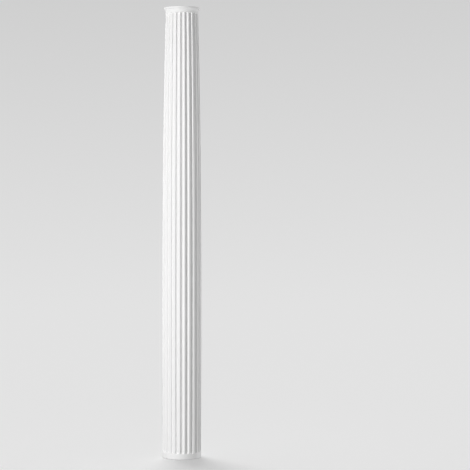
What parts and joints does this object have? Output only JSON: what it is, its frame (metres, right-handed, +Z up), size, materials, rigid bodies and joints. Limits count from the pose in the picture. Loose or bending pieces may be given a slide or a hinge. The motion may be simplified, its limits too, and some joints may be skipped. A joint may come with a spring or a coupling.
{
  "type": "fluted column shaft",
  "caption": "Round fluted column shaft with entasis, round-ended flutes, a plain foot band, a plain neck and a small flared rim at the head.",
  "frame": {"origin": "centre of the underside, where the shaft stands", "axes": "+Z up along the shaft's axis; -Y is the pictured front, +X its right-hand side"},
  "size_m": [0.2108, 0.2108, 2.4],
  "materials": {
    "moulded_white": "matt white primed rigid foam with a fine moulded grain"
  },
  "bodies": {
    "root": {"column_shaft": "moulded_white"}
  },
  "joints": []
}
